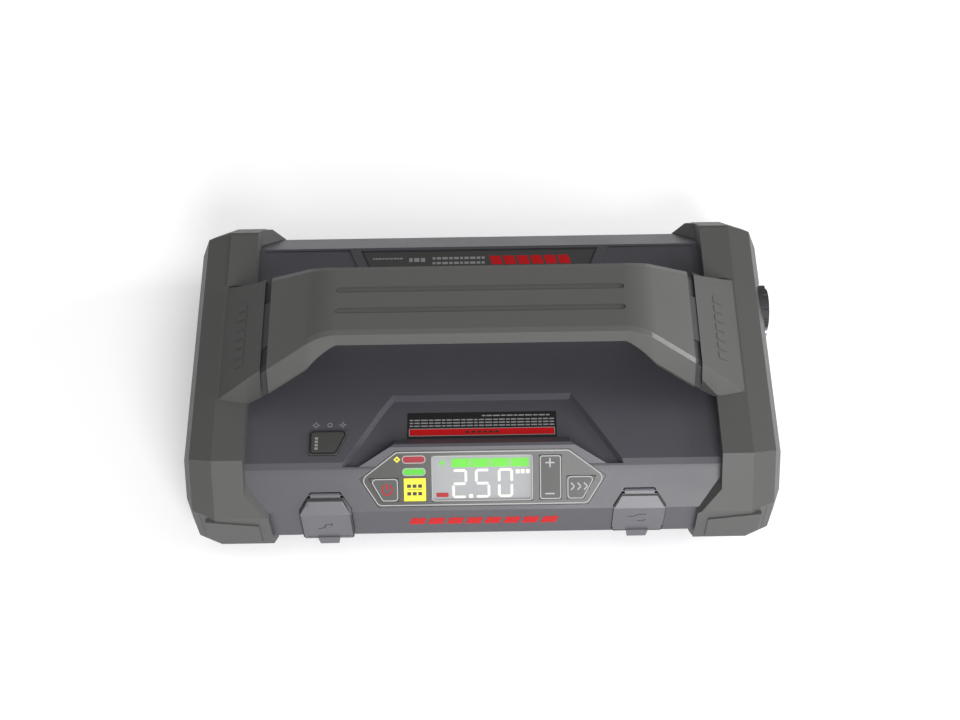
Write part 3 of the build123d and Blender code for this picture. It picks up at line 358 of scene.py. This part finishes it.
def soften(node, width, shortest=1.2, angle=7.0, segments=2):
    """Rebuild a CAD node with rounded edges, leaving out edges too short to round."""
    work = clean_copy(node)
    chosen = []
    for edge in work.edges:
        if len(edge.link_faces) != 2 or edge.calc_length() < shortest * MM:
            continue
        if edge.calc_face_angle(0) > math.radians(angle):
            chosen.append(edge)
    # Layer that tells the material where to paint the edge highlight
    highlight_layer = work.faces.layers.float.new(HIGHLIGHT_LAYER)
    rounds = bmesh.ops.bevel(work, geom=chosen, offset=width * MM, offset_type="OFFSET", segments=segments,
                             profile=0.5, affect="EDGES", clamp_overlap=True)
    # Mark the rounded faces, which the material paints with a highlight
    for face in rounds["faces"]:
        face[highlight_layer] = 1.0
    bmesh.ops.remove_doubles(work, verts=work.verts, dist=2e-7)
    for edge in work.edges:
        if len(edge.link_faces) != 2 or edge.calc_face_angle(0) > CREASE:
            edge.smooth = False
    mesh = bpy.data.meshes.new(node)
    work.to_mesh(mesh)
    work.free()
    for face in mesh.polygons:
        face.use_smooth = True
    slot = OTHER_SLOT.get(node, SLOT_OF[node])
    piece = finish_piece(node + "_finished", mesh, BODY_OF[node], slot, [node])
    normals = piece.modifiers.new("normals", "WEIGHTED_NORMAL")
    normals.weight = 80
    normals.keep_sharp = True
    return piece


# Width of the rounded edges of each outer node, in millimetres
SOFTENED = {
    "end_cap_left": 0.9, "end_cap_right": 0.9, "upper_shell": 0.5, "lower_shell": 0.5,
    "handle_grip": 0.9, "control_panel": 0.12, "light_button": 0.35, "power_button": 0.12,
    "unit_button": 0.12, "plus_minus_rocker": 0.12, "pump_button": 0.12, "jump_port_cover": 0.25,
    "usb_port_cover": 0.25, "rubber_feet": 0.4, "outlet_cap": 0.4,
}

# Finished nodes that look better in another slot than their own
OTHER_SLOT = {"outlet_cap": "hose_black"}


def finish_nodes():
    """Every CAD node gets its material, and the outer ones get rounded edges as well."""
    for node, piece in NODES.items():
        piece.data.materials.clear()
        piece.data.materials.append(MATERIALS[SLOT_OF[node]])
    for node, width in SOFTENED.items():
        soften(node, width)


# ---------------------------------------------------------------- flat shapes for the printing
def signed_area(corners):
    """Twice the area of an outline, positive when it runs anticlockwise."""
    return sum(a[0] * b[1] - b[0] * a[1] for a, b in zip(corners, corners[1:] + corners[:1]))


def inset(corners, distance):
    """Convex or nearly convex outline moved inwards by a distance (outwards when negative)."""
    turn = 1 if signed_area(corners) > 0 else -1
    moved = []
    for i, here in enumerate(corners):
        before, after = corners[i - 1], corners[(i + 1) % len(corners)]
        normals = []
        for a, b in ((before, here), (here, after)):
            length = math.dist(a, b)
            normals.append((-(b[1] - a[1]) / length * turn, (b[0] - a[0]) / length * turn))
        (ax, ay), (bx, by) = normals
        share = distance / (1 + ax * bx + ay * by)
        moved.append((here[0] + (ax + bx) * share, here[1] + (ay + by) * share))
    return moved


def rounded(corners, radius, steps=6):
    """Outline with its corners rounded by arcs."""
    points = []
    for i, here in enumerate(corners):
        before, after = Vector(corners[i - 1]), Vector(corners[(i + 1) % len(corners)])
        corner = Vector(here)
        back, ahead = (before - corner).normalized(), (after - corner).normalized()
        half_angle = back.angle(ahead) / 2
        longest = 0.45 * min((before - corner).length, (after - corner).length)
        reach = min(radius / math.tan(half_angle), longest)
        arc = reach * math.tan(half_angle)
        centre = corner + (back + ahead).normalized() * (arc / math.sin(half_angle))
        first, last = corner + back * reach - centre, corner + ahead * reach - centre
        for step in range(steps + 1):
            share = step / steps
            spoke = (first * (1 - share) + last * share).normalized() * arc
            points.append(tuple(centre + spoke))
    return points


def box(x0, x1, y0, y1):
    """Rectangle outline."""
    return [(x0, y0), (x1, y0), (x1, y1), (x0, y1)]


def disc(x, y, radius, sides=24):
    """Circle outline."""
    return [(x + radius * math.cos(2 * math.pi * i / sides), y + radius * math.sin(2 * math.pi * i / sides))
            for i in range(sides)]


def line(start, end, width):
    """Outline of a straight stroke with square ends."""
    along = (Vector(end) - Vector(start)).normalized()
    side = Vector((-along.y, along.x)) * width / 2
    a, b = Vector(start), Vector(end)
    return [tuple(a + side), tuple(a - side), tuple(b - side), tuple(b + side)]


def arc_strokes(x, y, radius, width, start, end, pieces=20):
    """Short strokes that follow an arc between two angles in degrees."""
    angles = [math.radians(start + (end - start) * i / pieces) for i in range(pieces + 1)]
    places = [(x + radius * math.cos(a), y + radius * math.sin(a)) for a in angles]
    return [line(a, b, width) for a, b in zip(places, places[1:])]


def slanted(x, y, width, height, lean):
    """Parallelogram that leans to the right as it rises."""
    return [(x, y), (x + width, y), (x + width + lean, y + height), (x + lean, y + height)]


# ---------------------------------------------------------------- places that carry printing
def on_slope(x, s, height):
    """Point on the sloped front, x across, s up the slope."""
    y = BELT_Y + s * math.cos(SLOPE_ANGLE) - height * math.sin(SLOPE_ANGLE)
    z = BELT_TOP + s * math.sin(SLOPE_ANGLE) + height * math.cos(SLOPE_ANGLE)
    return Vector((x, y, z)) * MM


def on_belt(x, z, height):
    """Point on the upright front band."""
    return Vector((x, BELT_Y - height, z)) * MM


def on_level(level):
    """Function that places points on a level face at a height."""
    return lambda x, y, height: Vector((x, y, level + height)) * MM


def add_plate(work, place, outline, low, high):
    """Thin closed plate over an outline."""
    if signed_area(outline) < 0:
        outline = outline[::-1]
    bottom = [work.verts.new(place(x, y, low)) for x, y in outline]
    top = [work.verts.new(place(x, y, high)) for x, y in outline]
    work.faces.new(bottom[::-1])
    work.faces.new(top)
    for i in range(len(outline)):
        j = (i + 1) % len(outline)
        work.faces.new((bottom[i], bottom[j], top[j], top[i]))


def add_ring(work, place, outer, width, low, high):
    """Thin closed band just inside an outline."""
    inner = inset(outer, width)
    loops = [[work.verts.new(place(x, y, h)) for x, y in outline]
             for outline, h in ((outer, low), (outer, high), (inner, high), (inner, low))]
    for first, second in zip(loops, loops[1:] + loops[:1]):
        for i in range(len(outer)):
            j = (i + 1) % len(outer)
            work.faces.new((first[i], first[j], second[j], second[i]))


def print_on(name, place, slot, plates=(), rings=(), body="case", base=0.0, thick=PRINT):
    """One printed piece made of plates and of (outline, width) rings."""
    work = bmesh.new()
    for outline in plates:
        add_plate(work, place, outline, base, base + thick)
    for outline, width in rings:
        add_ring(work, place, outline, width, base, base + thick)
    bmesh.ops.recalc_face_normals(work, faces=work.faces)
    mesh = bpy.data.meshes.new(name)
    work.to_mesh(mesh)
    work.free()
    return finish_piece(name, mesh, body, slot)


# ---------------------------------------------------------------- printing on the control panel
PANEL = [(-45.8, 2.0), (45.8, 2.0), (53.6, 14.5), (37.7, 26.6), (-37.7, 26.6), (-53.6, 14.5)]
POWER_KEY = [(-43.9, 4.4), (-36.9, 4.4), (-36.9, 14.6), (-49.5, 14.6)]
ROCKER_KEY = box(24.8, 34.2, 4.4, 24.0)
PUMP_KEY = [(36.7, 4.4), (43.7, 4.4), (49.2, 14.6), (36.7, 14.6)]
DISPLAY = box(-22.3, 21.9, 4.0, 24.4)
KEY_PROUD = 0.25
PANEL_LINE = 0.42
DISPLAY_FACE = -1.3
SEGMENTS = {"0": "abcdef", "2": "abged", "5": "afgcd"}


def digit(character, left, bottom, width=6.6, height=12.9, stroke=1.15, gap=0.28):
    """Segments of one display digit, with pointed ends."""
    right, top, middle = left + width, bottom + height, bottom + height / 2
    half = stroke / 2
    ends = {
        "a": ((left, top - half), (right, top - half)), "g": ((left, middle), (right, middle)),
        "d": ((left, bottom + half), (right, bottom + half)),
        "f": ((left + half, middle), (left + half, top)), "b": ((right - half, middle), (right - half, top)),
        "e": ((left + half, bottom), (left + half, middle)),
        "c": ((right - half, bottom), (right - half, middle)),
    }
    shapes = []
    for name in SEGMENTS[character]:
        start, end = Vector(ends[name][0]), Vector(ends[name][1])
        along = (end - start).normalized()
        side = Vector((-along.y, along.x)) * half
        start, end = start + along * (half * 0.5 + gap), end - along * (half * 0.5 + gap)
        near, far = start + along * half * 0.8, end - along * half * 0.8
        shapes.append([tuple(p) for p in (start, near - side, far - side, end, far + side, near + side)])
    return shapes


def print_panel():
    """Outlines and marks of the control panel and its keys."""
    print_on("panel_outline", on_slope, "print_light", rings=[(rounded(inset(PANEL, 0.35), 3.2), PANEL_LINE)])
    keys = {"power_key": (POWER_KEY, 1.6), "rocker": (ROCKER_KEY, 1.2), "pump_key": (PUMP_KEY, 1.6)}
    for body, (outline, radius) in keys.items():
        print_on(body + "_outline", on_slope, "print_light", body=body, base=KEY_PROUD,
                 rings=[(rounded(inset(outline, 0.1), radius), PANEL_LINE)])
    power = arc_strokes(-41.7, 9.6, 2.2, 0.55, 118, 422) + [line((-41.7, 9.6), (-41.7, 12.4), 0.55)]
    print_on("power_mark", on_slope, "print_red", power, body="power_key", base=KEY_PROUD)
    signs = [line((27.3, 20.7), (31.3, 20.7), 0.6), line((29.3, 18.7), (29.3, 20.4), 0.6),
             line((29.3, 21.0), (29.3, 22.7), 0.6), line((27.2, 6.9), (31.2, 6.9), 0.6)]
    print_on("rocker_marks", on_slope, "print_light", signs, body="rocker", base=KEY_PROUD)
    chevrons = []
    for x in (38.4, 41.2, 44.0):
        chevrons += [line((x, 11.6), (x + 1.5, 10.0), 0.55), line((x, 8.4), (x + 1.5, 10.0), 0.55)]
    print_on("pump_mark", on_slope, "print_light", chevrons, body="pump_key", base=KEY_PROUD)
    rows = [box(x, x + 1.7, s, s + 1.5) for s in (10.4, 7.0) for x in (-33.0, -30.6, -28.2)]
    print_on("unit_mark", on_slope, "label_dark", rows + [box(-33.0, -26.5, 9.45, 9.65)],
             body="unit_key", base=KEY_PROUD)
    diamond = [(-37.2, 21.5), (-35.7, 23.0), (-37.2, 24.5), (-38.7, 23.0)]
    print_on("status_diamond", on_slope, "print_yellow", [diamond])
    print_on("status_diamond_dot", on_slope, "label_dark", [disc(-37.2, 23.0, 0.4, 12)], base=PRINT)
    for name, s in (("fault", 22.9), ("status", 17.4)):
        capsule = rounded(box(-34.75, -25.05, s - 1.5, s + 1.5), 1.49)
        print_on(name + "_outline", on_slope, "print_light", rings=[(inset(capsule, -0.25), 0.35)])


def print_display():
    """What the display shows, on the face of the cell under its window."""
    bars = [box(x, x + 8.0, 18.9, 22.8) for x in (-13.6, -5.1, 3.5, 12.2)]
    print_on("charge_bars", on_slope, "display_green", bars, base=DISPLAY_FACE, thick=THIN_PRINT)
    bolt = [(-18.9, 18.7), (-16.1, 21.2), (-17.4, 21.3), (-16.3, 23.0), (-19.2, 20.6), (-17.9, 20.5)]
    print_on("charging_bolt", on_slope, "display_green", [bolt], base=DISPLAY_FACE, thick=THIN_PRINT)
    digits = digit("2", -13.4, 5.1) + digit("5", -3.4, 5.2) + digit("0", 6.6, 5.3)
    digits.append(rounded(box(-6.1, -4.3, 5.1, 6.9), 0.5))
    digits += [box(x, x + 1.7, 15.8, 17.6) for x in (14.4, 16.6, 18.8)]
    print_on("display_digits", on_slope, "display_light", digits, base=DISPLAY_FACE, thick=THIN_PRINT)
    print_on("display_alert", on_slope, "print_red", [rounded(box(-20.4, -15.0, 5.7, 7.7), 0.6)],
             base=DISPLAY_FACE, thick=THIN_PRINT)
    print_on("display_frame", on_slope, "print_light", rings=[(rounded(inset(DISPLAY, 0.1), 1.6), 0.4)])


# ---------------------------------------------------------------- printing elsewhere
def print_case():
    """Front accent and the label in the pocket."""
    accent = [slanted(-33.0 + 8.3 * i, 25.6, 6.6, 5.6, 1.6) for i in range(8)]
    print_on("front_accent", on_belt, "print_red", accent)

    label = on_level(POCKET_FLOOR + 0.2)
    words = []
    for row, (y, first) in enumerate(((-34.2, 0.0), (-36.2, -32.0), (-37.7, -32.0), (-39.2, -32.0))):
        x, count = first, 0
        while x < 30.5:
            width = 1.6 + 1.5 * ((count * 7 + row * 5) % 5) / 4
            words.append(box(x, min(x + width, 32.0), y - 0.3, y + 0.3))
            x, count = x + width + 0.5, count + 1
    print_on("label_lines", label, "print_grey", words, thick=THIN_PRINT)
    bar = box(-32.3, 32.2, -44.4, -40.5)
    print_on("label_bar", label, "print_red", [inset(bar, 0.3)], thick=THIN_PRINT)
    print_on("label_bar_frame", label, "print_grey", rings=[(bar, 0.3)], thick=THIN_PRINT)
    dashes = [box(x, x + 1.6, -43.0, -42.0) for x in (-7.2, -4.6, -2.0, 0.6, 3.2, 5.8)]
    print_on("label_bar_marks", label, "print_dark", dashes, base=0.03, thick=THIN_PRINT)


def dashes(x0, x1, y, height, step, seed):
    """Row of short strokes of uneven length between x0 and x1."""
    row, x, count = [], x0, 0
    while x < x1 - 0.4:
        width = step * (0.7 + 0.6 * ((count * 7 + seed * 5) % 5) / 4)
        row.append(box(x, min(x + width, x1), y - height / 2, y + height / 2))
        x, count = x + width + step * 0.3, count + 1
    return row


def print_rear_label():
    """Red blocks and rows of dashes on the label behind the handle."""
    level = on_level(REAR_LABEL_TOP)
    blocks = [slanted(6.0 + 6.4 * i, 47.0, 5.2, 5.0, -1.4) for i in range(6)]
    print_on("rear_label_accent", level, "print_red", blocks, thick=0.04)
    rows = dashes(-22.0, 2.5, 51.0, 1.3, 2.0, 1) + dashes(-22.0, 2.5, 48.2, 1.3, 2.0, 3)
    rows += dashes(-50.0, -36.0, 51.2, 0.8, 1.1, 2) + dashes(-33.0, -25.5, 50.2, 2.2, 2.4, 4)
    rows += dashes(-22.0, 40.0, 42.6, 0.9, 1.6, 2) + dashes(-22.0, 40.0, 40.2, 0.9, 1.6, 5)
    rows += dashes(-22.0, 30.0, 37.8, 0.9, 1.6, 3)
    print_on("rear_label_lines", level, "print_grey", rows, thick=0.04)
    outline = [(-46.3, 32.3), (46.3, 32.3), (55.2, 55.5), (-55.2, 55.5)]
    print_on("rear_label_frame", level, "print_dark", rings=[(outline, 0.5)], thick=THIN_PRINT)


def print_lamp_key():
    """Black border of the lamp key, painted shade of the groove round it, the key's marks, and the three mode
    signs beside it.
    """
    top = on_level(LAMP_KEY_TOP)
    border = rounded(inset(LAMP_KEY, 0.15), 1.9)
    # Black ring along the key's edge: painted shade of the groove round the key
    print_on("lamp_key_groove_shade", top, "label_black", rings=[(border, 0.75)], body="light_key")
    marks = [box(-73.3, -71.9, y, y + 1.1) for y in (-52.4, -50.7, -49.0, -47.3)]
    print_on("lamp_key_marks", top, "print_grey", marks, body="light_key")
    case = on_level(CASE_TOP)
    signs = [(disc(-73.1, -39.6, 1.05, 12), 0.28), (disc(-67.0, -39.6, 1.1, 16), 0.28),
             ([(-62.4, -39.6), (-61.3, -40.7), (-60.2, -39.6), (-61.3, -38.5)], 0.28)]
    rays = []
    for i in range(4):
        turn = math.pi / 2 * i
        out = Vector((math.cos(turn), math.sin(turn)))
        for centre in (Vector((-73.1, -39.6)), Vector((-61.3, -39.6))):
            rays.append(line(centre + out * 1.3, centre + out * 1.75, 0.28))
    print_on("lamp_mode_signs", case, "print_grey", rays, signs, thick=THIN_PRINT)


def on_front(x, z, height):
    """Point on the layer that follows the front band and then the slope, over its front view."""
    up = (z - BELT_TOP - height * math.cos(SLOPE_ANGLE)) / math.sin(SLOPE_ANGLE)
    sloped = BELT_Y + up * math.cos(SLOPE_ANGLE) - height * math.sin(SLOPE_ANGLE)
    return Vector((x, max(BELT_Y - height, sloped), z)) * MM


def cover_rim(centre, proud):
    """Front view of a cover's face below its hinge."""
    half, shoulder, bottom = COVER_HALF, BELT_TOP + 0.8, COVER_BOTTOM
    top_half = COVER_TOP_HALF
    top = BELT_TOP + COVER_TOP_S * math.sin(SLOPE_ANGLE) + proud * math.cos(SLOPE_ANGLE)
    right = [(half - 0.9, bottom), (half, bottom + 1.4), (half, shoulder), (top_half, top)]
    left = [(-x, z) for x, z in reversed(right)]
    return [(centre + x, z) for x, z in right + left]


def print_covers():
    """Dark rims and fine signs on the port covers: a bolt on one and a plug on the other. Each rim is partly
    the cover's dark rubber edge and partly painted shade of the gap round it.
    """
    for name, body, centre, proud in (("jump", "jump_flap", JUMP_X, JUMP_PROUD),
                                      ("usb", "usb_flap", USB_X, USB_PROUD)):
        rim = cover_rim(centre, proud)
        # Dark ring round the cover: its dark rubber edge, with painted shade of the gap round it
        print_on(name + "_cover_rim_and_gap_shade", on_front, "seal_black", rings=[(inset(rim, 0.02), RIM_WIDTH)],
                 body=body, base=proud - 0.1, thick=0.16)
    rim = inset(cover_rim(JUMP_X, JUMP_PROUD), RIM_WIDTH + 0.02)
    print_on("jump_cover_bevel", on_front, "cover_rubber", rings=[(rim, 1.0)],
             body="jump_flap", base=JUMP_PROUD - 0.1, thick=0.24)
    bolt = [line((-73.0, 26.0), (-69.6, 27.6), 0.4), line((-69.6, 27.6), (-69.9, 29.6), 0.4),
            line((-69.9, 29.6), (-66.4, 30.8), 0.4), line((-66.4, 30.8), (-67.2, 28.4), 0.4)]
    print_on("jump_cover_sign", on_belt, "print_dark", bolt, body="jump_flap", base=JUMP_PROUD, thick=0.05)
    plug = [line((63.4, 30.8), (66.4, 30.8), 0.4), line((66.4, 30.8), (68.0, 32.4), 0.4),
            line((68.0, 32.4), (71.6, 32.6), 0.4), line((67.8, 26.6), (70.8, 26.6), 0.4),
            line((70.8, 26.6), (71.4, 27.6), 0.4)]
    print_on("usb_cover_sign", on_belt, "print_dark", plug, body="usb_flap", base=USB_PROUD, thick=0.05)


def on_shoulder(side):
    """Function that places points on a sloping shoulder: along is down it, y across."""
    fall = math.atan(LEG_FALL)

    def place(along, y, height):
        x = SHOULDER_X + along * math.cos(fall) + height * math.sin(fall)
        z = SHOULDER_Z - along * math.sin(fall) + height * math.cos(fall)
        return Vector((side * x, y, z)) * MM
    return place


def emboss_shoulders():
    """Raised bars in a column on each shoulder of the handle."""
    for name, side in (("left", -1), ("right", 1)):
        bars = [rounded(slanted(10.4, -17.2 + 5.0 * i, 5.4, 3.7, 0.0), 0.6, 3) for i in range(7)]
        print_on("shoulder_bars_" + name, on_shoulder(side), "bumper_plastic", bars, base=-0.05, thick=0.3)


PRINTED_PARTS = (print_panel, print_display, print_case, print_rear_label, print_lamp_key,
                 print_covers, emboss_shoulders)


# ---------------------------------------------------------------- scene
add_camera()
add_studio()
finish_nodes()
for print_part in PRINTED_PARTS:
    print_part()
